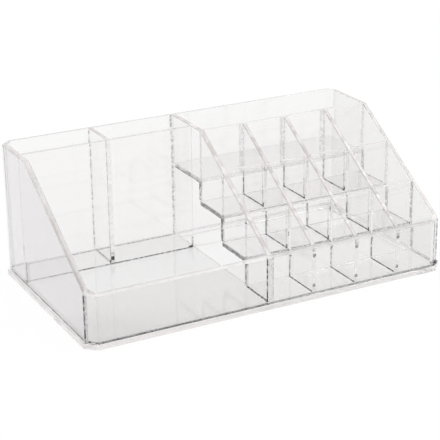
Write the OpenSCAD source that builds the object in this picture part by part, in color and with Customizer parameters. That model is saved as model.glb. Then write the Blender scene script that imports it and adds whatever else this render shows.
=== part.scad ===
// Clear vanity organizer: sixteen open compartments, cut from clear sheet and bonded edge to edge on a base plate.
// X runs along the width, Y from the front to the back, Z up. The origin is at the centre of the underside.

/* [Tray and tall compartments] */
// Clear width of the open tray and of the two tall compartments together
tray_w = 104.5; // [70:0.5:180]
// Clear depth of each tall compartment, front to back
tall_d = 24; // [18:0.5:32]
// Number of tall compartments side by side
tall_count = 2; // [2:1:4]

/* [Stepped cells] */
// Cells in each row
columns = 4; // [2:1:6]
// Rows of cells in front of the trough
rows = 3; // [2:1:4]
// Clear width of one cell
cell_w = 25.25; // [18:0.25:36]
// Clear depth of one cell, front to back
cell_d = 24.5; // [18:0.5:34]
// Rise from one row's floor to the next
step_rise = 16.4; // [12:0.1:20]
// Clear depth of the trough behind the cells
trough_d = 34; // [24:0.5:60]
// Rise from the last row's floor to the trough's floor
trough_step = 13.8; // [11:0.1:20]

/* [Outer walls] */
// Height of the back wall above the base plate
wall_h = 76.5; // [70:0.5:110]
// Height of the front wall above the base plate
front_h = 27.5; // [18:0.5:36]
// Length of each leg of the cut-off upright corners
corner_cut = 5; // [4.5:0.5:9]

/* [Sheets] */
// Thickness of the outer walls and of the side plate of the steps
wall_t = 3; // [2:0.1:4]
// Thickness of the dividers, step walls and floors
inner_t = 2.5; // [1.5:0.1:3.5]
// Thickness of the base plate
base_t = 3.5; // [2:0.1:6]
// Width of the base plate's lip outside the walls
base_lip = 1.5; // [0.5:0.1:4]
// Ledge of the base plate inside the opening under the steps
base_ledge = 1; // [0.5:0.1:3]
// Gap for cement on each side of a halved joint
joint_gap = 0.1; // [0.05:0.01:0.2]

/* [Hidden] */
clear = [0.91, 0.93, 0.94, 0.35];
clear_warm = [0.94, 0.91, 0.90, 0.35];
pitch_x = cell_w + inner_t;
pitch_y = cell_d + inner_t;
steps_w = columns * pitch_x - inner_t;
body_w = 3 * wall_t + tray_w + steps_w;
body_d = 2 * wall_t + rows * pitch_y + trough_d;
top_z = base_t + wall_h;
front_z = base_t + front_h;
mitre = wall_t * tan(22.5);

// Faces of the outer walls: left, right, front and back, inside them
left_x = wall_t - body_w / 2;
right_x = body_w / 2 - wall_t;
front_y = wall_t - body_d / 2;
back_y = body_d / 2 - wall_t;
// Left and right faces of the side plate of the steps, and front face of the tall compartments' wall
plate_x = left_x + tray_w;
steps_x = plate_x + wall_t;
tall_y = back_y - tall_d - inner_t;
tall_w = (tray_w - (tall_count - 1) * inner_t) / tall_count;

// Row 1 is at the front. Row rows + 1 is the trough, and wall_y(row) is the front face of the wall before it.
trough = rows + 1;
function wall_y(row) = front_y + (row - 1) * pitch_y - inner_t;
function floor_z(row) = base_t + (min(row, rows) - 1) * step_rise + (row == trough ? trough_step : 0);
function slope_z(y) = front_z + (top_z - front_z) * (y - front_y) / (wall_y(trough) - front_y);
function lap_z(row) = (floor_z(row) + slope_z(wall_y(row))) / 2;
function divider_x(column) = steps_x + column * pitch_x - inner_t;
function tall_divider_x(index) = left_x + index * (tall_w + inner_t) - inner_t;

// The outer faces run round an octagon. An outline that lies inset inside them has cut corners with these legs.
function cut_leg(inset) = corner_cut - inset * (2 - sqrt(2));

// An outline in Y and Z, drawn out along X from x
module upright_sheet(x, thickness, outline) {
    translate([x, 0, 0])
        rotate([90, 0, 90])
            linear_extrude(thickness)
                polygon(outline);
}

// A box from its lowest corner to its highest
module sheet(low, high) {
    translate(low)
        cube(high - low);
}

// A flat plate on the ground plane, its outline inset inside the outer faces, with a cut corner at the back right
module back_right_plate(x, y, inset, thickness) {
    right = body_w / 2 - inset;
    back = body_d / 2 - inset;
    leg = cut_leg(inset);
    linear_extrude(thickness)
        polygon([[x, y], [right, y], [right, back - leg], [right - leg, back], [x, back]]);
}

// Standing on the ground, with cut corners, a lip outside the walls and an opening below the steps
module base_plate() {
    x = body_w / 2 + base_lip;
    y = body_d / 2 + base_lip;
    leg = cut_leg(-base_lip);
    color(clear)
        difference() {
            linear_extrude(base_t)
                polygon([
                    [leg - x, -y], [x - leg, -y], [x, leg - y], [x, y - leg],
                    [x - leg, y], [leg - x, y], [-x, y - leg], [-x, leg - y]
                ]);
            translate([0, 0, -base_t])
                back_right_plate(
                    steps_x + base_ledge, wall_y(2) + inner_t + base_ledge, wall_t + base_ledge, 3 * base_t
                );
        }
}

// What is left of a piece under the walls' profile: level at the front and the back, climbing between them
module under_profile() {
    y = body_d / 2;
    outline = [[-y, 0], [y, 0], [y, top_z], [wall_y(trough), top_z], [front_y, front_z], [-y, front_z]];
    intersection() {
        children();
        upright_sheet(-body_w / 2, body_w, outline);
    }
}

// A wall along X with mitred ends, its outer face at y = 0 and its inner face towards +Y
module long_wall(height) {
    half = body_w / 2 - corner_cut;
    translate([0, 0, base_t])
        linear_extrude(height)
            polygon([[-half, 0], [half, 0], [half - mitre, wall_t], [mitre - half, wall_t]]);
}

module front_wall() {
    color(clear)
        translate([0, -body_d / 2, 0])
            long_wall(front_h);
}

module back_wall() {
    color(clear)
        translate([0, body_d / 2, 0])
            mirror([0, 1, 0])
                long_wall(wall_h);
}

// The left wall, with mitred ends
module side_wall() {
    half = body_d / 2 - corner_cut;
    under_profile()
        translate([-body_w / 2, 0, base_t])
            linear_extrude(wall_h)
                polygon([[0, half], [0, -half], [wall_t, mitre - half], [wall_t, half - mitre]]);
}

module left_wall() {
    color(clear)
        side_wall();
}

module right_wall() {
    color(clear)
        mirror([1, 0, 0])
            side_wall();
}

// A mitred strip across a cut-off corner: side_x is -1 on the left and 1 on the right, side_y -1 in front
module corner_strip(side_x, side_y) {
    color(clear)
        under_profile()
            mirror([side_x > 0 ? 1 : 0, 0, 0])
                mirror([0, side_y > 0 ? 1 : 0, 0])
                    translate([-body_w / 2, -body_d / 2, base_t])
                        linear_extrude(wall_h)
                            polygon([
                                [0, corner_cut], [corner_cut, 0],
                                [corner_cut + mitre, wall_t], [wall_t, corner_cut + mitre]
                            ]);
}

// Closes the tall compartments off from the tray
module tall_front_wall() {
    color(clear)
        sheet([left_x, tall_y, base_t], [plate_x, tall_y + inner_t, top_z]);
}

module tall_divider(index) {
    color(clear)
        sheet(
            [tall_divider_x(index), tall_y + inner_t, base_t],
            [tall_divider_x(index) + inner_t, back_y, top_z]
        );
}

// Full-depth plate between the tray and the steps
module step_side_wall() {
    outline = [
        [front_y, base_t], [back_y, base_t], [back_y, top_z],
        [wall_y(trough), top_z], [front_y, front_z]
    ];
    color(clear)
        upright_sheet(plate_x, wall_t, outline);
}

// Wall before row 2 or a later row, standing on the floor below it, halved from its top for each divider
module row_wall(row) {
    y = wall_y(row);
    color(clear)
        difference() {
            sheet([steps_x, y, floor_z(row - 1)], [right_x, y + inner_t, slope_z(y)]);
            for (c = [1:1:columns - 1])
                sheet(
                    [divider_x(c) - joint_gap, y - inner_t, lap_z(row)],
                    [divider_x(c) + inner_t + joint_gap, y + 2 * inner_t, top_z]
                );
        }
}

// Floor of row 2 or a later row, reaching under the wall behind it
module row_floor(row) {
    color(clear)
        sheet(
            [steps_x, wall_y(row) + inner_t, floor_z(row) - inner_t],
            [right_x, wall_y(row + 1) + inner_t, floor_z(row)]
        );
}

module trough_wall() {
    y = wall_y(trough);
    color(clear)
        sheet([steps_x, y, floor_z(rows)], [right_x, y + inner_t, top_z]);
}

module trough_floor() {
    color(clear)
        translate([0, 0, floor_z(trough) - inner_t])
            back_right_plate(steps_x, wall_y(trough) + inner_t, wall_t, inner_t);
}

// Divider between two columns of cells: sloping on top, stepped below, halved from below for each row wall
module step_divider(column) {
    steps = [
        for (row = [rows:-1:2])
            let (y = wall_y(row) + inner_t / 2)
                each [[y, floor_z(row)], [y, floor_z(row - 1)]]
    ];
    outline = concat(
        [
            [front_y, base_t], [front_y, front_z],
            [wall_y(trough), top_z], [wall_y(trough), floor_z(rows)]
        ],
        steps
    );
    color(clear_warm)
        difference() {
            upright_sheet(divider_x(column), inner_t, outline);
            for (row = [2:1:rows])
                sheet(
                    [divider_x(column) - inner_t, wall_y(row) - joint_gap, 0],
                    [divider_x(column) + 2 * inner_t, wall_y(row) + inner_t + joint_gap, lap_z(row)]
                );
        }
}

base_plate();
back_wall();
left_wall();
right_wall();
front_wall();
corner_strip(-1, -1);  // front_left_corner
corner_strip(1, -1);  // front_right_corner
corner_strip(-1, 1);  // back_left_corner
corner_strip(1, 1);  // back_right_corner
tall_front_wall();
step_side_wall();
trough_wall();
trough_floor();
for (i = [1:1:tall_count - 1])
    tall_divider(i);
for (row = [2:1:rows]) {
    row_wall(row);
    row_floor(row);
}
for (c = [1:1:columns - 1])
    step_divider(c);
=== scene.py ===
"""Clear vanity organizer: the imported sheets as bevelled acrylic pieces, on a white studio floor."""

import math

import bmesh
import bpy
from bpy.props import FloatProperty, FloatVectorProperty, IntProperty, PointerProperty
from mathutils import Matrix, Vector


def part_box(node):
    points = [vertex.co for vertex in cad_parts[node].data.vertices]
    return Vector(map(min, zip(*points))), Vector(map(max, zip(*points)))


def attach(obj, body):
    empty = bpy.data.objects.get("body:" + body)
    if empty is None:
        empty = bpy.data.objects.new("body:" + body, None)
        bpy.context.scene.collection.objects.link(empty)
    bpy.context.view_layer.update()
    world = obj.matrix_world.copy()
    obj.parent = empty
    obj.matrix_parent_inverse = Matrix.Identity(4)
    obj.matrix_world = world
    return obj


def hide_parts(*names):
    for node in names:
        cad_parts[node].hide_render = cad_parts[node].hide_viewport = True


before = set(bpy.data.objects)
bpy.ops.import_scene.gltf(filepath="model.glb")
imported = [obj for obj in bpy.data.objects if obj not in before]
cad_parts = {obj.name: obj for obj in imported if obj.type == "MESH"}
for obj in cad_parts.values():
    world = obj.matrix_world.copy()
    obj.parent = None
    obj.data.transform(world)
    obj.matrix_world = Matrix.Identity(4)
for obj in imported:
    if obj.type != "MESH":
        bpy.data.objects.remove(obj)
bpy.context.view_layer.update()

bl_info = {
    "name": "Vanity organizer",
    "version": (1, 0, 0),
    "blender": (4, 5, 0),
    "location": "3D View > Sidebar > Organizer",
    "description": "Builds the clear sheets of a vanity organizer over its packed frame, with a studio floor",
    "category": "Add Mesh",
}

# Width of the sensor that the camera lens goes with, in millimetres
PHOTO_SENSOR = 36.0


class OrganizerSheets(bpy.types.PropertyGroup):
    """Sizes of what the frame leaves to the looks."""

    edge_round: FloatProperty(
        name="Edge rounding",
        description="Radius of the base plate's edges, and of the milky upper edges that aren't an outer rim",
        default=0.0004,
        min=0.0001,
        max=0.0008,
        precision=5,
        subtype="DISTANCE",
        unit="LENGTH",
    )
    joint_round: FloatProperty(
        name="Joint edge rounding",
        description="Radius of the other edges, most of which lie beside a joint",
        default=0.00015,
        min=0.00005,
        max=0.0004,
        precision=5,
        subtype="DISTANCE",
        unit="LENGTH",
    )
    rim_round: FloatProperty(
        name="Rim rounding",
        description="Radius of the outer upper edges of the outer walls",
        default=0.0011,
        min=0.0001,
        max=0.0014,
        precision=5,
        subtype="DISTANCE",
        unit="LENGTH",
    )
    bead_leg: FloatProperty(
        name="Bead size",
        description="Width of a cement bead on each of the two sheets that it joins",
        default=0.0005,
        min=0.0002,
        max=0.0014,
        precision=5,
        subtype="DISTANCE",
        unit="LENGTH",
    )
    dab_size: FloatProperty(
        name="Dab size",
        description="Width of a round dab of cement, and length of a dab in a joint",
        default=0.0024,
        min=0.001,
        max=0.004,
        precision=5,
        subtype="DISTANCE",
        unit="LENGTH",
    )
    cement_climb: FloatProperty(
        name="Cement climb",
        description="Height of the cement at the tall compartments' left end, halved at their right end",
        default=0.013,
        min=0.0,
        max=0.03,
        precision=5,
        subtype="DISTANCE",
        unit="LENGTH",
    )
    edge_segments: IntProperty(
        name="Edge segments",
        description="Faces across one rounded edge",
        default=3,
        min=1,
        max=6,
    )
    joint_film: FloatProperty(
        name="Joint film",
        description="Air left on each side of a bonded joint, which makes the joint show as a line",
        default=0.00003,
        min=0.00001,
        max=0.0001,
        precision=6,
        subtype="DISTANCE",
        unit="LENGTH",
    )


class OrganizerAcrylic(bpy.types.PropertyGroup):
    """Colours of the clear sheets, their edges and the cement. The sheets' tints hold painted light and shade
    besides the acrylic's own tint.
    """

    # Painted light and shade: each sheet's tint is one acrylic made paler or darker from sheet to sheet
    wall_tint_and_shade: FloatVectorProperty(
        name="Outer wall tint",
        description="Share of light that the front wall lets through. The back and right walls follow it",
        default=(0.92, 0.915, 0.91),
        min=0.0,
        max=1.0,
        size=3,
        subtype="COLOR",
    )
    # Painted shade: the left wall is darker than the other walls
    left_tint_and_shade: FloatVectorProperty(
        name="Left wall tint",
        description="Share of light that the left wall lets through",
        default=(0.85, 0.833, 0.841),
        min=0.0,
        max=1.0,
        size=3,
        subtype="COLOR",
    )
    inner_tint_and_shade: FloatVectorProperty(
        name="Inner sheet tint",
        description="Share of light that one inner sheet lets through",
        default=(0.985, 0.979, 0.978),
        min=0.0,
        max=1.0,
        size=3,
        subtype="COLOR",
    )
    # Painted shade: the base plate is darker than the walls
    base_tint_and_shade: FloatVectorProperty(
        name="Base plate tint",
        description="Share of light that the base plate lets through",
        default=(0.884, 0.874, 0.873),
        min=0.0,
        max=1.0,
        size=3,
        subtype="COLOR",
    )
    edge_milk: FloatVectorProperty(
        name="Edge colour",
        description="Colour of the milky skin on the sawn and flamed edges",
        default=(0.85, 0.79, 0.775),
        min=0.0,
        max=1.0,
        size=3,
        subtype="COLOR",
    )
    # Painted shade: the floors of the rows are darker and more violet than the inner sheets
    floor_tint_and_shade: FloatVectorProperty(
        name="Floor tint",
        description="Share of light that the floor of a row of cells lets through",
        default=(0.945, 0.935, 0.938),
        min=0.0,
        max=1.0,
        size=3,
        subtype="COLOR",
    )
    rim_brown: FloatVectorProperty(
        name="Rim colour",
        description="Colour of the outer edge of the left wall's top",
        default=(0.7, 0.66, 0.64),
        min=0.0,
        max=1.0,
        size=3,
        subtype="COLOR",
    )
    cement_grey: FloatVectorProperty(
        name="Cement colour",
        description="Colour of the cement that closes the joints",
        default=(0.05, 0.05, 0.055),
        min=0.0,
        max=1.0,
        size=3,
        subtype="COLOR",
    )
    refraction: FloatProperty(
        name="Refractive index",
        description="Refractive index of the acrylic",
        default=1.49,
        min=1.3,
        max=1.7,
    )


class OrganizerStage(bpy.types.PropertyGroup):
    """Floor, light and camera."""

    camera_place: FloatVectorProperty(
        name="Camera place",
        description="Where the camera stands",
        default=(-0.36275, -0.68613, 0.33333),
        size=3,
        subtype="XYZ",
        unit="LENGTH",
    )
    camera_aim: FloatVectorProperty(
        name="Camera aim",
        description="Point that the middle of the picture shows",
        default=(-0.00191, 0.0, 0.03169),
        size=3,
        subtype="XYZ",
        unit="LENGTH",
    )
    camera_roll: FloatProperty(
        name="Camera roll",
        description="Turn of the camera about its own axis",
        default=math.radians(-0.665),
        subtype="ANGLE",
        unit="ROTATION",
    )
    camera_lens: FloatProperty(
        name="Camera lens",
        description="Focal length in millimetres on a 36 mm sensor",
        default=118.093,
        min=20.0,
        max=300.0,
    )
    floor_white: FloatProperty(
        name="Floor white",
        description="Share of the floor's brightness that the object's shadow doesn't touch",
        default=0.9,
        min=0.0,
        max=1.0,
        subtype="FACTOR",
    )
    room_grey: FloatProperty(
        name="Room grey",
        description="Brightness of the room above the horizon",
        default=0.7,
        min=0.0,
        max=1.0,
        subtype="FACTOR",
    )
    lamp_power: FloatProperty(
        name="Lamp power",
        description="Power of each soft lamp",
        default=8.0,
        min=0.0,
        max=100.0,
        unit="POWER",
    )


def chosen_sizes():
    """The sizes that the sidebar shows."""
    return bpy.context.scene.organizer_sheets


def chosen_colours():
    """The colours that the sidebar shows."""
    return bpy.context.scene.organizer_acrylic


def nodes_named(start, end=""):
    """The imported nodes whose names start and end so, in order."""
    return sorted(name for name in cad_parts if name.startswith(start) and name.endswith(end))


def row_walls():
    """The walls in front of the rows, from the front."""
    return ["front_wall"] + nodes_named("row_", "_wall") + ["trough_wall"]


def row_floors():
    """The sheets that the rows stand on, from the front."""
    return ["base_plate"] + nodes_named("row_", "_floor") + ["trough_floor"]


def row_levels():
    """For each wall behind a row, from the front: its front face and the top of the floor behind it."""
    behind = zip(row_walls()[1:], row_floors()[1:])
    return [(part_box(wall)[0].y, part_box(floor)[1].z) for wall, floor in behind]


class Wire:
    """One output of a node. Arithmetic on wires and numbers adds the Math nodes for it."""

    def __init__(self, nodes, socket):
        self.nodes = nodes
        self.socket = socket

    def __add__(self, other):
        return self.nodes.maths("ADD", self, other)

    def __radd__(self, other):
        return self.nodes.maths("ADD", other, self)

    def __sub__(self, other):
        return self.nodes.maths("SUBTRACT", self, other)

    def __rsub__(self, other):
        return self.nodes.maths("SUBTRACT", other, self)

    def __mul__(self, other):
        return self.nodes.maths("MULTIPLY", self, other)

    def __rmul__(self, other):
        return self.nodes.maths("MULTIPLY", other, self)

    def over(self, start, end):
        """0 at start, 1 at end and a smooth climb between them. start may be the higher one."""
        return self.nodes.node(
            "ShaderNodeMapRange",
            {"interpolation_type": "SMOOTHSTEP"},
            {"Value": self, "From Min": start, "From Max": end},
        )


class Nodes:
    """The node tree of a material or the world, emptied first."""

    def __init__(self, owner):
        owner.use_nodes = True
        self.tree = owner.node_tree
        self.tree.nodes.clear()

    def node(self, kind, settings=None, inputs=None, output=0):
        """Adds a node, its settings first and then the values or links of its sockets. Returns an output."""
        made = self.tree.nodes.new(kind)
        for name, value in (settings or {}).items():
            setattr(made, name, value)
        for name, value in (inputs or {}).items():
            if isinstance(value, Wire):
                self.tree.links.new(value.socket, made.inputs[name])
            else:
                made.inputs[name].default_value = value
        return Wire(self, made.outputs[output]) if made.outputs else None

    def maths(self, operation, *values):
        """A Math node with this operation on these values."""
        return self.node("ShaderNodeMath", {"operation": operation}, dict(enumerate(values)))

    def coordinate(self, place, axis):
        """X, Y or Z of a place."""
        return self.node("ShaderNodeSeparateXYZ", {}, {0: place}, axis)

    def noise(self, place, scale, detail, stretch=(1.0, 1.0, 1.0)):
        """Noise from 0 to 1 on places in metres, drawn out where stretch is small."""
        mapped = self.node("ShaderNodeMapping", {}, {"Vector": place, "Scale": stretch})
        return self.node("ShaderNodeTexNoise", {}, {"Vector": mapped, "Scale": scale, "Detail": detail})

    def bump(self, height, strength):
        """A normal that is bent as if the surface had these heights, in tenths of a millimetre."""
        return self.node("ShaderNodeBump", {}, {"Strength": strength, "Distance": 0.0001, "Height": height})

    def blend(self, factor, first, second):
        """The first colour where factor is 0 and the second where it is 1."""
        # A Mix node's sockets for colours come after those for numbers and vectors
        ends = {6: (*first, 1.0), 7: (*second, 1.0)}
        return self.node("ShaderNodeMix", {"data_type": "RGBA"}, {0: factor, **ends}, 2)

    def mix(self, factor, first, second):
        """The first shader where factor is 0 and the second where it is 1."""
        return self.node("ShaderNodeMixShader", {}, {0: factor, 1: first, 2: second})


def paler(colour, share):
    """colour, with this share of it turned to white."""
    return [c + (1.0 - c) * share for c in colour]


def darker(colour, share):
    """colour, with this share of it lost."""
    return [c * (1.0 - share) for c in colour]


def clear_sheet(nodes, place, tint, shade=None):
    """Cast acrylic with faint clouds, hairline scratches and slight waves, darker by painted shade where
    shade is near 1.
    """
    cloud = nodes.noise(place, 35.0, 3.0)
    hairline = nodes.noise(place, 60.0, 1.0, (1.0, 26.0, 26.0)).over(0.70, 0.74)
    waves = nodes.noise(place, 70.0, 1.0)
    if shade is None:
        colour = nodes.blend(cloud, tint, darker(tint, 0.02))
    else:
        colour = nodes.blend(shade + cloud * 0.1, paler(tint, 0.75), darker(tint, 0.1))
    return nodes.node(
        "ShaderNodeBsdfPrincipled",
        {},
        {
            "Base Color": colour,
            "Roughness": hairline * 0.06,
            "IOR": chosen_colours().refraction,
            "Transmission Weight": 1.0,
            "Normal": nodes.bump(waves + hairline * 0.1, 0.2),
        },
    )


# Where the base plate's painted shade changes, as distances right of the side plate and behind the front
# wall's face
STEPS_SHADE_FADE = (-0.004, 0.01)
LEFT_SHADE_FADE = (-0.105, -0.015)
FRONT_SHADE_FADE = (0.0, 0.06)


def shaded_base_sheet(nodes, place, tint):
    """The base plate, with painted shade: clearer below the steps, and darker towards the tray's front left
    corner.
    """
    right_of_plate = nodes.coordinate(place, "X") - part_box("step_side_wall")[0].x
    behind_front = nodes.coordinate(place, "Y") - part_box("front_wall")[0].y
    shade_below_tray = 1.0 - right_of_plate.over(*STEPS_SHADE_FADE)
    shade_left_part = 1.0 - right_of_plate.over(*LEFT_SHADE_FADE)
    shade_front_part = 1.0 - behind_front.over(*FRONT_SHADE_FADE)
    # Painted shade: the tray's floor is darker, most towards its front left corner
    return clear_sheet(nodes, place, tint, shade_below_tray * 0.35 + shade_left_part * shade_front_part * 0.85)


# Share of an edge's tone that follows its length as painted light and shade, where it has a pale, painted-lit
# end and a dark, painted-shaded end
SHADE_SLIDE_SHARE = 0.7


def milky_edge(nodes, place, colour, milk, uneven=0.1, shade_slide=None):
    """A sawn and flamed edge: clear acrylic under a thin milky skin with saw marks across it.

    milk is the share that the skin covers, and uneven the share by which its darker places are darker.
    shade_slide is an axis and two places on it: most of the skin is pale by painted light at the first and
    dark by painted shade at the second.
    """
    marks = nodes.noise(place, 900.0, 2.0)
    dark = nodes.noise(place, 130.0, 2.0).over(0.35, 0.65)
    # Painted light and shade: the skin slides from a lit end to a shaded end
    if shade_slide:
        axis, lit_end, shaded_end = shade_slide
        along = nodes.coordinate(place, axis).over(lit_end, shaded_end)
        dark = dark * (1.0 - SHADE_SLIDE_SHARE) + along * SHADE_SLIDE_SHARE
    skin = nodes.node(
        "ShaderNodeBsdfPrincipled",
        {},
        {
            "Base Color": nodes.blend(dark, paler(colour, 0.35), darker(colour, uneven)),
            "Roughness": 0.35,
            "Normal": nodes.bump(marks, 0.4),
        },
    )
    return nodes.mix(milk * (0.8 + marks * 0.4), clear_sheet(nodes, place, colour), skin)


def cement_film(nodes, flecks, colour):
    """The dull surface of cement, paler in its flecks."""
    return nodes.node(
        "ShaderNodeBsdfPrincipled",
        {},
        {
            "Base Color": nodes.blend(flecks, colour, [min(1.0, c * 4.0) for c in colour]),
            "Roughness": 0.5,
            "Specular IOR Level": 0.1,
        },
    )


def cement(nodes, place, colour, cover, thin=0.7):
    """Cement in a joint: a film with clear flecks where it ran thin.

    cover is the share that it hides, and thin the share of it that is lost in a fleck.
    """
    flecks = nodes.noise(place, 520.0, 1.0).over(0.44, 0.60)
    bare = nodes.node("ShaderNodeBsdfTransparent")
    return nodes.mix(cover * (1.0 - flecks * thin), bare, cement_film(nodes, flecks, colour))


# Heights of the dabs on the dividers' front ends, as shares of the front wall's height, and their colour
DAB_HEIGHTS = (0.13, 0.78)
DAB_GREY = (0.12, 0.12, 0.12)


def dabbed_end(nodes, place, tint):
    """The front ends of the step dividers: clear, with round dabs of cement against the front wall."""
    dividers = nodes_named("step_divider_")[:2]
    first, second = (sum(corner.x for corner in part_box(divider)) / 2 for divider in dividers)
    half_pitch = (second - first) / 2
    aside = nodes.maths("WRAP", nodes.coordinate(place, "X") - first, half_pitch, -half_pitch)
    low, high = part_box("front_wall")
    reach = chosen_sizes().dab_size / 2
    dabs = []
    for share in DAB_HEIGHTS:
        rise = nodes.coordinate(place, "Z") - (low.z + (high.z - low.z) * share)
        away = nodes.maths("SQRT", aside * aside + rise * rise)
        dabs.append(1.0 - away.over(reach * 0.75, reach))
    flecks = nodes.noise(place, 900.0, 1.0)
    cover = nodes.maths("MAXIMUM", *dabs) * (0.5 + flecks * 0.5)
    return nodes.mix(cover, clear_sheet(nodes, place, tint), cement_film(nodes, flecks, DAB_GREY))


def makers():
    """For each finish: the function that makes its shader, and the values for it."""
    colours = chosen_colours()
    walls, milk, grey = colours.wall_tint_and_shade, colours.edge_milk, colours.cement_grey
    plate_left, plate_right = (corner.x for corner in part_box("step_side_wall"))
    shade_down_slope = ("Z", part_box("back_wall")[1].z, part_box("front_wall")[1].z)
    return {
        # Painted light and shade: the sheets are lit and shaded copies of one acrylic. The right wall is 4 %
        # darker and the back wall 35 % paler than the front, and the base plate's roundings are paler than
        # the plate
        "front": (clear_sheet, walls),
        "left_side": (clear_sheet, colours.left_tint_and_shade),
        "right_side": (clear_sheet, darker(walls, 0.04)),
        "back": (clear_sheet, paler(walls, 0.35)),
        "inner": (clear_sheet, colours.inner_tint_and_shade),
        "floor": (clear_sheet, colours.floor_tint_and_shade),
        "base": (shaded_base_sheet, colours.base_tint_and_shade),
        "base_round": (clear_sheet, paler(colours.base_tint_and_shade, 0.5)),
        # Painted light and shade: the edge finishes are lit and shaded copies of one milky skin, paler or
        # darker from edge to edge, some with a painted slide from a lit to a shaded end
        "slope": (milky_edge, milk, 0.6, 0.35),
        "slope_rim": (milky_edge, darker(milk, 0.25), 0.5),
        "brown_rim": (milky_edge, colours.rim_brown, 0.75, 0.34, shade_down_slope),
        "left_rim": (milky_edge, milk, 0.5, 0.25, shade_down_slope),
        "front_rim": (milky_edge, paler(milk, 0.6), 0.5, 0.4, ("X", plate_left, plate_right)),
        "pale_rim": (milky_edge, paler(milk, 0.25), 0.5),
        "grey_rim": (milky_edge, darker(milk, 0.15), 0.5),
        "flange": (milky_edge, paler(milk, 0.3), 0.45, 0.15, ("X", plate_right, plate_left)),
        "side_flange": (milky_edge, paler(milk, 0.45), 0.7),
        "dabbed": (dabbed_end, colours.inner_tint_and_shade),
        "solid": (cement, grey, 0.95, 0.35),
        "dark": (cement, grey, 0.95),
        "strong": (cement, grey, 0.7),
        "mid": (cement, grey, 0.5),
        "light": (cement, grey, 0.25),
        "faint": (cement, grey, 0.1),
        "seam": (cement, grey, 0.02),
        "even": (cement, grey, 0.5, 0.2),
        "soft": (cement, grey, 0.33, 0.2),
        "pale": (cement, paler(milk, 0.8), 0.9, 0.1),
    }


def finish(key):
    """The material of this name, made the first time that a piece asks for it."""
    found = bpy.data.materials.get(key)
    if found:
        return found
    material = bpy.data.materials.new(key)
    nodes = Nodes(material)
    place = nodes.node("ShaderNodeTexCoord", output="Object")
    make, *values = makers()[key]
    nodes.node("ShaderNodeOutputMaterial", {}, {"Surface": make(nodes, place, *values)})
    return material


LEFT, RIGHT, FRONT, BACK, DOWN, UP = (
    Vector(way) for way in ((-1, 0, 0), (1, 0, 0), (0, -1, 0), (0, 1, 0), (0, 0, -1), (0, 0, 1))
)

# The side that a narrow face looks to, by the axis that leads its normal and the sign on it
SIDES = {(0, -1): "left", (0, 1): "right", (1, -1): "front", (1, 1): "back", (2, -1): "down", (2, 1): "up"}

OUTER_WALLS = ("front_wall", "back_wall", "left_wall", "right_wall")

# Finishes of the faces in a joint, whose edges aren't rounded
JOINT_FINISHES = ("solid", "strong", "mid", "light", "faint", "seam")


def looks(face, **given):
    """The finish of a sheet's large faces, and of its narrow faces and rounded edges where none is given."""
    parts = list(SIDES.values()) + ["face", "rim", "outer_rim", "round"]
    return dict(dict.fromkeys(parts, face), **given)


# Finishes by the start of the node's name. A side's name ends in _low below the level of the floor behind.
LOOKS = {
    "base_plate": looks("base", round="base_round", left="side_flange", front="flange"),
    "front_wall": looks(
        "front",
        up="front_rim",
        rim="front_rim",
        outer_rim="front_rim",
        left="seam",
        right="seam",
        down="light",
    ),
    "back_wall": looks("back", left="seam", right="seam", down="faint"),
    "left_wall": looks(
        "left_side", up="left_rim", outer_rim="brown_rim", front="faint", back="faint", down="faint"
    ),
    "right_wall": looks(
        "right_side", up="grey_rim", outer_rim="grey_rim", front="seam", back="seam", down="seam"
    ),
    "front_left_corner": looks(
        "front",
        up="pale_rim",
        rim="pale_rim",
        outer_rim="pale_rim",
        left="faint",
        back="faint",
        front="seam",
        right="seam",
        down="mid",
    ),
    "front_right_corner": looks(
        "front",
        up="pale_rim",
        outer_rim="pale_rim",
        left="seam",
        front="seam",
        right="seam",
        back="seam",
        down="mid",
    ),
    "back_": looks("back", left="seam", right="seam", front="seam", back="seam", down="light"),
    "tall_front_wall": looks("inner", left="faint", right="faint", down="faint"),
    "tall_divider": looks("inner", up="slope", rim="slope_rim", back="faint", down="light"),
    "step_side_wall": looks("inner", up="slope", rim="slope_rim", front="faint", back="faint", down="seam"),
    "row_2_wall": looks("inner", up="pale_rim", left_low="mid", left="light", down="seam"),
    "row_3_wall": looks("inner", up="pale_rim", left_low="mid", left="light", down="seam"),
    "trough_wall": looks("inner", left_low="mid", left="light", down="seam"),
    "row_2_floor": looks(
        "floor", left="light", left_low="solid", right="faint", front="mid", front_low="light"
    ),
    "row_3_floor": looks("floor", left="light", left_low="solid", right="faint", front_low="light"),
    "trough_floor": looks(
        "floor", left="light", left_low="strong", right="faint", back="faint", front_low="faint"
    ),
    "step_divider": looks(
        "inner", up="slope", rim="slope_rim", front="dabbed", back="light", back_low="faint", down="seam"
    ),
}


def looks_of(node):
    """The finishes of a node."""
    return next(found for start, found in LOOKS.items() if node.startswith(start))


def side_of(normal):
    """left, right, front, back, down or up."""
    axis = max(range(3), key=lambda i: abs(normal[i]))
    return SIDES[axis, 1 if normal[axis] > 0 else -1]


# Points nearer than this are one point
TINY = 1e-6

# Faces that meet at less than this are one face, and an edge is sharp where they meet at more than the second
FLAT_ANGLE = math.radians(1)
SHARP_ANGLE = math.radians(5)

# A face is a large one where its normal leads along the largest face's by more than this
LARGE_SHARE = 0.99

# Share of a floor's thickness that cement covers at its ends
CEMENTED_SHARE = 0.7

# A face this far inside a sheet's box is in one of its slots
SLOT_MARGIN = 0.001

# The base plate's cut-off corners reach in by less than this
CORNER_REACH = 0.004


def floor_level(node):
    """The height below which cement covers the ends of a floor."""
    low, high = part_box(node)
    return low.z + (high.z - low.z) * CEMENTED_SHARE


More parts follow.
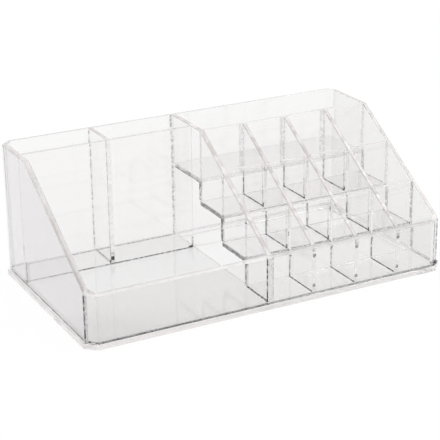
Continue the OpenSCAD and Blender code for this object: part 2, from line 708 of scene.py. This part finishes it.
def cut_heights(node):
    """Heights at which a node's narrow faces change their finish."""
    if node.endswith("_floor"):
        return [floor_level(node)]
    if node.startswith("step_divider"):
        return [level for y, level in row_levels()]
    if node.startswith("row_") or node == "trough_wall":
        return [level for y, level in row_levels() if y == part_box(node)[0].y]
    return []


def in_slot(node, side, middle):
    """Whether a narrow face at this place lies in one of the slots of a halved sheet."""
    low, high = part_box(node)
    if node.startswith("step_divider"):
        near, far = low.y + SLOT_MARGIN, high.y - SLOT_MARGIN
        return (side == "front" and middle.y > near) or (side == "back" and middle.y < far)
    return side in ("left", "right") and low.x + SLOT_MARGIN < middle.x < high.x - SLOT_MARGIN


def in_opening(node, middle):
    """Whether a narrow face at this place lies in the base plate's opening."""
    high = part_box(node)[1]
    inside = abs(middle.x) < high.x - CORNER_REACH and abs(middle.y) < high.y - CORNER_REACH
    return node == "base_plate" and inside


def narrow_side(node, face):
    """The side that a narrow face looks to, with _low after it where the finish differs below a height.

    A face in a slot or an opening counts as a large face.
    """
    side = side_of(face.normal)
    middle = face.calc_center_median()
    if in_opening(node, middle):
        return "face"
    if not cut_heights(node):
        return side
    if in_slot(node, side, middle):
        return "face"
    if node.endswith("_floor"):
        level = floor_level(node)
    else:
        level = min(row_levels(), key=lambda row: abs(row[0] - middle.y))[1]
    return side + "_low" if middle.z < level and side + "_low" in looks_of(node) else side


def is_outside(node, face):
    """Whether a large face looks away from the middle of the organizer."""
    outer_wall = node in OUTER_WALLS or node.endswith("_corner")
    return outer_wall and face.normal.dot(face.calc_center_median()) > 0


def sheet_mesh(node):
    """A copy of a packed sheet, moved in by the joint film and cut where its narrow faces' finish changes."""
    bm = bmesh.new()
    bm.from_mesh(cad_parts[node].data)
    bmesh.ops.remove_doubles(bm, verts=bm.verts, dist=TINY)
    bmesh.ops.dissolve_limit(bm, angle_limit=FLAT_ANGLE, verts=bm.verts, edges=bm.edges)
    bm.normal_update()
    film = chosen_sizes().joint_film
    moves = [(vert, vert.normal * vert.calc_shell_factor() * film) for vert in bm.verts]
    for vert, move in moves:
        vert.co -= move
    for height in cut_heights(node):
        geom = bm.verts[:] + bm.edges[:] + bm.faces[:]
        bmesh.ops.bisect_plane(bm, geom=geom, dist=TINY, plane_co=UP * height, plane_no=UP)
    return bm


def edge_groups(bm, node, narrow, finishes):
    """The sharp edges outside the joints: the outer upper ones, the inner upper ones and the others.

    narrow gives the side that each narrow face looks to.
    """
    seams = {each for each, side in narrow.items() if finishes[side] in JOINT_FINISHES}
    rims = {each for each in narrow if side_of(each.normal) == "up"}
    outer = {each for each in bm.faces if each not in narrow and is_outside(node, each)}
    sharp = [
        edge
        for edge in bm.edges
        if edge.calc_face_angle(0.0) > SHARP_ANGLE and not seams.intersection(edge.link_faces)
    ]
    upper = [edge for edge in sharp if rims.intersection(edge.link_faces)]
    outside = [edge for edge in upper if outer.intersection(edge.link_faces)]
    inside = [edge for edge in upper if edge not in outside]
    others = [edge for edge in sharp if edge not in upper]
    return outside, inside, others


def round_edges(bm, edges, radius, material_index):
    """Rounds these edges, and gives the new faces one of the mesh's materials."""
    made = bmesh.ops.bevel(
        bm,
        geom=[edge for edge in edges if edge.is_valid],
        offset=radius,
        offset_type="OFFSET",
        segments=chosen_sizes().edge_segments,
        profile=0.5,
        affect="EDGES",
        material=-1,
    )
    for each in made["faces"]:
        each.material_index = material_index


def put_piece(name, bm, keys):
    """Makes an object of a bmesh with these finishes, which rides on the frame."""
    mesh = bpy.data.meshes.new(name)
    bm.to_mesh(mesh)
    bm.free()
    for key in keys:
        mesh.materials.append(finish(key))
    piece = bpy.data.objects.new(name, mesh)
    bpy.context.scene.collection.objects.link(piece)
    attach(piece, "root")
    return piece


def sheet(node, slot):
    """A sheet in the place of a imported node, with a film of air at its joints and rounded edges."""
    sizes = chosen_sizes()
    finishes = looks_of(node)
    keys = sorted(set(finishes.values()))
    bm = sheet_mesh(node)
    flat = max(bm.faces, key=lambda each: each.calc_area()).normal.copy()
    sides = [each for each in bm.faces if abs(each.normal.dot(flat)) <= LARGE_SHARE]
    narrow = {each: narrow_side(node, each) for each in sides}
    for each in bm.faces:
        each.material_index = keys.index(finishes[narrow.get(each, "face")])
    outside, inside, others = edge_groups(bm, node, narrow, finishes)
    milky_top = finishes["up"] != finishes["face"]
    inside_round = sizes.edge_round if milky_top else sizes.joint_round
    others_round = sizes.edge_round if slot == "base_acrylic" else sizes.joint_round
    round_edges(bm, outside, sizes.rim_round, keys.index(finishes["outer_rim"]))
    round_edges(bm, inside, inside_round, keys.index(finishes["rim"]))
    round_edges(bm, others, others_round, keys.index(finishes["round"]))
    if node == "base_plate":
        # The roundings along the left lip are as milky as the lip
        lip_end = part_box(node)[0].x + 2 * others_round
        for each in bm.faces:
            if each.calc_center_median().x < lip_end:
                each.material_index = keys.index(finishes["left"])
    piece = put_piece(node + "_sheet", bm, keys)
    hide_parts(node)
    return piece


# Faces across the hollow side of a bead
BEAD_FACES = 4


class Beads:
    """Beads of cement, with one mesh for each finish."""

    def __init__(self):
        self.meshes = {}

    def run(self, key, start, end, ways, legs=(1.0, 1.0)):
        """A hollow-faced bead from start to end, in the corner of two sheets.

        ways lead along the two sheets, and legs are the bead's widths on them in shares of the bead size.
        """
        if key not in self.meshes:
            self.meshes[key] = bmesh.new()
        bm = self.meshes[key]
        sizes = chosen_sizes()
        start, end = Vector(start), Vector(end)
        corner = start + (ways[0] + ways[1]) * sizes.joint_film
        first, second = (way * sizes.bead_leg * leg for way, leg in zip(ways, legs))
        turns = [math.pi / 2 * i / BEAD_FACES for i in range(BEAD_FACES + 1)]
        hollow = [corner + first * (1 - math.sin(turn)) + second * (1 - math.cos(turn)) for turn in turns]
        end_face = bm.faces.new([bm.verts.new(point) for point in [corner] + hollow])
        made = bmesh.ops.extrude_face_region(bm, geom=[end_face])
        moved = [each for each in made["geom"] if isinstance(each, bmesh.types.BMVert)]
        bmesh.ops.translate(bm, verts=moved, vec=end - start)

    def upright(self, key, x, y, low, high, ways, legs=(1.0, 1.0)):
        """A bead up an upright corner at x and y."""
        self.run(key, (x, y, low), (x, y, high), ways, legs)

    def deep(self, key, x, z, near, far, ways, legs=(1.0, 1.0)):
        """A bead from near to far at x and z."""
        self.run(key, (x, near, z), (x, far, z), ways, legs)

    def dab(self, x, y, low, ways, legs):
        """A short dark bead up an upright corner, from low."""
        self.upright("dark", x, y, low, low + chosen_sizes().dab_size, ways, legs)

    def put(self, name):
        """Makes a piece of each mesh."""
        for key, bm in self.meshes.items():
            put_piece(name + "_" + key, bm, [key])


def cell_beads(beads):
    """Beads in the corners of the cells, fainter higher up."""
    walls, floors = row_walls(), row_floors()
    wall_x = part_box("right_wall")[0].x
    bead_leg = chosen_sizes().bead_leg
    for row in range(len(walls) - 1):
        near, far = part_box(walls[row])[1].y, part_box(walls[row + 1])[0].y
        near_top, far_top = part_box(walls[row])[1].z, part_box(walls[row + 1])[1].z
        z, next_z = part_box(floors[row])[1].z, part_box(floors[row + 1])[1].z
        middle = (z + near_top) / 2
        is_last = row == len(walls) - 2
        for divider in nodes_named("step_divider_"):
            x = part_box(divider)[0].x
            beads.deep("dark", x, z, near, far, (LEFT, UP), (0.8, 1.1))
            beads.upright("mid", x, far, z, next_z, (LEFT, FRONT), (1.2, 1.2))
            if is_last:
                beads.upright("faint", x, far, next_z, far_top, (LEFT, FRONT), (5.0, 0.6))
            if row:
                beads.dab(x, near, z, (LEFT, BACK), (1.4, 1.4))
                beads.upright("light", x - bead_leg, near, z, middle, (LEFT, BACK), (1.6, 0.3))
                beads.upright("faint", x - bead_leg, near, middle, near_top, (LEFT, BACK), (1.6, 0.3))
        beads.deep("light", wall_x, z, near, far, (LEFT, UP))
        beads.upright("light", wall_x, far, z, next_z, (LEFT, FRONT), (0.6, 5.0))
        beads.upright("faint" if row else "light", wall_x, far, next_z, far_top, (LEFT, FRONT), (1.0, 4.0))


def stair_beads(beads):
    """Beads along the side plate, under the floors and behind the walls."""
    plate_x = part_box("step_side_wall")[1].x
    dab_size = chosen_sizes().dab_size
    floors = row_floors()
    for floor, next_floor in zip(floors, floors[1:]):
        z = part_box(floor)[1].z
        low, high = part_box(next_floor)
        beads.deep("dark", plate_x, low.z, low.y, high.y, (RIGHT, DOWN), (1.2, 1.2))
        beads.upright("strong", plate_x, low.y, z, low.z, (RIGHT, BACK), (1.0, 3.0))
        beads.dab(plate_x, low.y, low.z - dab_size, (RIGHT, BACK), (2.0, 2.4))


def plate_beads(beads):
    """Beads on the tray's side of the side plate, and at the right of its front end."""
    base_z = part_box("base_plate")[1].z
    low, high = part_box("step_side_wall")
    front_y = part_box("front_wall")[1].y
    front_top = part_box("front_wall")[1].z - chosen_sizes().rim_round
    back_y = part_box("back_wall")[0].y
    row_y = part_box("row_2_wall")[0].y
    beads.upright("dark", low.x, front_y, base_z, front_top, (LEFT, BACK), (1.8, 1.0))
    beads.upright("mid", high.x, front_y, base_z, front_top, (RIGHT, BACK), (0.7, 1.0))
    beads.dab(low.x, front_y, base_z, (LEFT, BACK), (2.2, 2.0))
    beads.deep("dark", low.x, base_z, front_y, row_y, (LEFT, UP), (1.0, 1.6))
    beads.upright("light", low.x, back_y, base_z, high.z, (LEFT, FRONT), (2.8, 0.6))


def tall_beads(beads):
    """Beads round the floors of the tall compartments and up their dividers."""
    sizes = chosen_sizes()
    base_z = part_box("base_plate")[1].z
    left_top, right_top = base_z + sizes.cement_climb, base_z + sizes.cement_climb / 2
    back_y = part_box("back_wall")[0].y
    low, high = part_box("tall_front_wall")
    corner = (high.x, high.y, base_z)
    beads.run("dark", (low.x, high.y, base_z), corner, (BACK, UP))
    beads.run("light", (low.x, back_y, base_z), (high.x, back_y, base_z), (FRONT, UP))
    beads.upright("strong", low.x, low.y, base_z, left_top, (RIGHT, FRONT), (1.4, 1.0))
    beads.upright("faint", low.x, low.y, base_z, left_top, (RIGHT, FRONT), (5.0, 1.2))
    beads.run("dark", (high.x - sizes.dab_size, high.y, base_z), corner, (BACK, UP), (3.0, 2.8))
    beads.upright("strong", high.x, high.y, base_z, right_top, (LEFT, BACK), (1.2, 1.2))
    for divider in nodes_named("tall_divider_"):
        x, end_x = (end.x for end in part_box(divider))
        beads.dab(x, high.y, base_z, (LEFT, BACK), (1.6, 2.4))
        # A flat dab in the film of air between the divider's end and the wall
        beads.dab(x, high.y - sizes.joint_film, base_z + sizes.dab_size, (RIGHT, BACK), (4.2, 0.04))
        beads.deep("mid", end_x, base_z, high.y, back_y, (RIGHT, UP), (2.0, 1.2))
        beads.upright("light", x, high.y, base_z, high.z, (LEFT, BACK))
        beads.upright("light", x, back_y, base_z, high.z, (LEFT, FRONT), (1.2, 1.2))


def foot_beads(beads):
    """Beads round the feet of the outer walls, except behind and at the right."""
    base_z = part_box("base_plate")[1].z
    front_low, front_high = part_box("front_wall")
    left_low, left_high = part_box("left_wall")
    back_low, back_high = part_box("back_wall")
    corners = [
        (back_low.x, back_high.y),
        (left_low.x, left_high.y),
        (left_low.x, left_low.y),
        (front_low.x, front_low.y),
        (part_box("step_side_wall")[0].x, front_low.y),
        (front_high.x, front_low.y),
        (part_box("right_wall")[1].x, left_low.y),
    ]
    finishes = [
        ("mid", (1.0, 1.0)),
        ("mid", (0.4, 1.0)),
        ("strong", (1.2, 0.8)),
        ("even", (2.9, 0.7)),
        ("soft", (2.9, 0.7)),
        ("dark", (2.4, 2.4)),
    ]
    for (key, legs), (x0, y0), (x1, y1) in zip(finishes, corners, corners[1:]):
        away = Vector((y0 - y1, x1 - x0, 0.0)).normalized()
        beads.run(key, (x0, y0, base_z), (x1, y1, base_z), (-away, UP), legs)


def corner_beads(beads):
    """Beads up the outer edges of three cut-off corners, with two at the front right one."""
    rim_round = chosen_sizes().rim_round
    base_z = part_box("base_plate")[1].z
    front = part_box("front_wall")
    left_low, left_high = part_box("left_wall")
    right_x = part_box("right_wall")[1].x
    top = front[1].z - rim_round
    right_front = (RIGHT + FRONT).normalized()
    left_front = (LEFT + FRONT).normalized()
    beads.upright("strong", left_low.x, left_low.y, base_z, top, (BACK, right_front), (1.6, 1.0))
    beads.upright("pale", left_low.x, left_high.y, base_z, left_high.z - rim_round, (FRONT, LEFT), (5.0, 0.5))
    beads.upright("mid", right_x, left_low.y, base_z, top, (left_front, right_front), (1.0, 0.8))
    beads.upright("light", front[1].x, front[0].y, base_z, top, (LEFT, -left_front))


class ORGANIZER_OT_base_plate(bpy.types.Operator):
    """Base plate that the walls stand on, with its lip and the opening below the steps"""

    bl_idname = "organizer.base_plate"
    bl_label = "Base plate"

    def execute(self, context):
        sheet("base_plate", "base_acrylic")
        return {"FINISHED"}


class ORGANIZER_OT_outer_walls(bpy.types.Operator):
    """Front, back, left and right walls, with the strips across the four cut-off corners"""

    bl_idname = "organizer.outer_walls"
    bl_label = "Outer walls and corners"

    def execute(self, context):
        for node in sorted(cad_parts):
            if node in OUTER_WALLS or node.endswith("_corner"):
                sheet(node, "wall_acrylic")
        return {"FINISHED"}


class ORGANIZER_OT_tall_compartments(bpy.types.Operator):
    """Front wall and dividers of the tall compartments behind the tray"""

    bl_idname = "organizer.tall_compartments"
    bl_label = "Tall compartments"

    def execute(self, context):
        for node in ["tall_front_wall"] + nodes_named("tall_divider"):
            sheet(node, "inner_acrylic")
        return {"FINISHED"}


class ORGANIZER_OT_step_side(bpy.types.Operator):
    """Plate between the tray and the stepped cells"""

    bl_idname = "organizer.step_side"
    bl_label = "Side plate of the steps"

    def execute(self, context):
        sheet("step_side_wall", "inner_acrylic")
        return {"FINISHED"}


class ORGANIZER_OT_step_rows(bpy.types.Operator):
    """Walls and floors of the rows of cells"""

    bl_idname = "organizer.step_rows"
    bl_label = "Row walls and floors"

    def execute(self, context):
        for node in nodes_named("row_"):
            sheet(node, "inner_acrylic")
        return {"FINISHED"}


class ORGANIZER_OT_trough(bpy.types.Operator):
    """Wall and floor of the trough behind the cells"""

    bl_idname = "organizer.trough"
    bl_label = "Trough"

    def execute(self, context):
        sheet("trough_floor", "inner_acrylic")
        sheet("trough_wall", "inner_acrylic")
        return {"FINISHED"}


class ORGANIZER_OT_step_dividers(bpy.types.Operator):
    """Sloping dividers between the columns of cells"""

    bl_idname = "organizer.step_dividers"
    bl_label = "Step dividers"

    def execute(self, context):
        for node in nodes_named("step_divider_"):
            sheet(node, "inner_acrylic")
        return {"FINISHED"}


class ORGANIZER_OT_beads(bpy.types.Operator):
    """Beads of cement along the joints"""

    bl_idname = "organizer.beads"
    bl_label = "Cement beads"

    def execute(self, context):
        inside = Beads()
        cell_beads(inside)
        stair_beads(inside)
        plate_beads(inside)
        tall_beads(inside)
        inside.put("inner_beads")
        outside = Beads()
        foot_beads(outside)
        corner_beads(outside)
        outside.put("outer_beads")
        return {"FINISHED"}


FLOOR_RADIUS = 12.0
LAMPS = {"lamp_left": (-1.1, -0.7, 1.5), "lamp_right": (1.3, -0.2, 1.3)}
LAMP_SIZE = 1.0

# Enough for light that crosses every sheet on its way
BOUNCES = 40


def make_floor(settings):
    """A wide white floor, which shows as white to the eye and through the sheets, and keeps a soft shadow."""
    material = bpy.data.materials.new("studio_floor")
    nodes = Nodes(material)
    rays = ("Is Camera Ray", "Is Glossy Ray", "Is Transmission Ray")
    to_eye, glossy, through = (nodes.node("ShaderNodeLightPath", output=ray) for ray in rays)
    seen = nodes.maths("MAXIMUM", nodes.maths("MAXIMUM", to_eye, glossy), through)
    matt = nodes.node("ShaderNodeBsdfDiffuse", {}, {"Color": (0.9, 0.9, 0.9, 1.0)})
    white = nodes.node("ShaderNodeEmission", {}, {"Color": (1.0, 1.0, 1.0, 1.0), "Strength": 1.02})
    surface = nodes.mix(seen * settings.floor_white, matt, white)
    nodes.node("ShaderNodeOutputMaterial", {}, {"Surface": surface})
    bm = bmesh.new()
    just_below = Matrix.Translation((0.0, 0.0, -0.0001))
    bmesh.ops.create_circle(bm, cap_ends=True, segments=96, radius=FLOOR_RADIUS, matrix=just_below)
    mesh = bpy.data.meshes.new("studio_floor")
    bm.to_mesh(mesh)
    bm.free()
    mesh.materials.append(material)
    floor = bpy.data.objects.new("studio_floor", mesh)
    bpy.context.scene.collection.objects.link(floor)


def make_room(settings):
    """White at the floor's horizon and grey above it, so that the edges of the sheets draw themselves."""
    world = bpy.data.worlds.new("studio_room")
    bpy.context.scene.world = world
    nodes = Nodes(world)
    direction = nodes.node("ShaderNodeTexCoord", output="Generated")
    above = nodes.coordinate(direction, "Z").over(0.10, 0.90)
    colour = nodes.blend(above, (1.0, 1.0, 1.0), (settings.room_grey,) * 3)
    light = nodes.node("ShaderNodeBackground", {}, {"Color": colour, "Strength": 1.0})
    nodes.node("ShaderNodeOutputWorld", {}, {"Surface": light})


def make_lamp(name, place, power):
    """A square soft lamp that faces the organizer."""
    data = bpy.data.lights.new(name, "AREA")
    data.shape = "SQUARE"
    data.size = LAMP_SIZE
    data.energy = power
    lamp = bpy.data.objects.new(name, data)
    lamp.location = place
    lamp.rotation_euler = (-Vector(place)).to_track_quat("-Z", "Y").to_euler()
    bpy.context.scene.collection.objects.link(lamp)


def make_camera(settings):
    """The camera at the photograph's place."""
    data = bpy.data.cameras.new("camera")
    data.sensor_width = PHOTO_SENSOR
    data.lens = settings.camera_lens
    data.clip_start = 0.01
    data.clip_end = 50.0
    camera = bpy.data.objects.new("camera", data)
    place = Vector(settings.camera_place)
    turn = (Vector(settings.camera_aim) - place).to_track_quat("-Z", "Y").to_matrix()
    turn = turn @ Matrix.Rotation(settings.camera_roll, 3, "Z")
    camera.matrix_world = Matrix.Translation(place) @ turn.to_4x4()
    bpy.context.scene.collection.objects.link(camera)
    bpy.context.scene.camera = camera


class ORGANIZER_OT_stage(bpy.types.Operator):
    """Floor, room light, soft lamps and camera"""

    bl_idname = "organizer.stage"
    bl_label = "Stage"

    def execute(self, context):
        settings = context.scene.organizer_stage
        make_floor(settings)
        make_room(settings)
        for name, place in LAMPS.items():
            make_lamp(name, place, settings.lamp_power)
        make_camera(settings)
        context.scene.view_settings.view_transform = "Standard"
        context.scene.cycles.max_bounces = BOUNCES
        context.scene.cycles.transmission_bounces = BOUNCES
        context.scene.cycles.glossy_bounces = BOUNCES
        context.scene.cycles.transparent_max_bounces = BOUNCES
        return {"FINISHED"}


OPERATORS = (
    ORGANIZER_OT_stage,
    ORGANIZER_OT_base_plate,
    ORGANIZER_OT_outer_walls,
    ORGANIZER_OT_tall_compartments,
    ORGANIZER_OT_step_side,
    ORGANIZER_OT_step_rows,
    ORGANIZER_OT_trough,
    ORGANIZER_OT_step_dividers,
    ORGANIZER_OT_beads,
)


class ORGANIZER_PT_panel(bpy.types.Panel):
    """Steps that build the organizer"""

    bl_idname = "ORGANIZER_PT_panel"
    bl_label = "Vanity organizer"
    bl_space_type = "VIEW_3D"
    bl_region_type = "UI"
    bl_category = "Organizer"

    def draw(self, context):
        for operator in OPERATORS:
            self.layout.operator(operator.bl_idname)


GROUPS = {
    "organizer_sheets": OrganizerSheets,
    "organizer_acrylic": OrganizerAcrylic,
    "organizer_stage": OrganizerStage,
}


def register():
    for group in GROUPS.values():
        bpy.utils.register_class(group)
    for name, group in GROUPS.items():
        setattr(bpy.types.Scene, name, PointerProperty(type=group))
    for operator in OPERATORS:
        bpy.utils.register_class(operator)
    bpy.utils.register_class(ORGANIZER_PT_panel)


def unregister():
    bpy.utils.unregister_class(ORGANIZER_PT_panel)
    for operator in reversed(OPERATORS):
        bpy.utils.unregister_class(operator)
    for name, group in GROUPS.items():
        delattr(bpy.types.Scene, name)
        bpy.utils.unregister_class(group)


def main():
    register()
    bpy.ops.organizer.stage()
    bpy.ops.organizer.base_plate()
    bpy.ops.organizer.outer_walls()
    bpy.ops.organizer.tall_compartments()
    bpy.ops.organizer.step_side()
    bpy.ops.organizer.step_rows()
    bpy.ops.organizer.trough()
    bpy.ops.organizer.step_dividers()
    bpy.ops.organizer.beads()


if __name__ == "__main__":
    main()
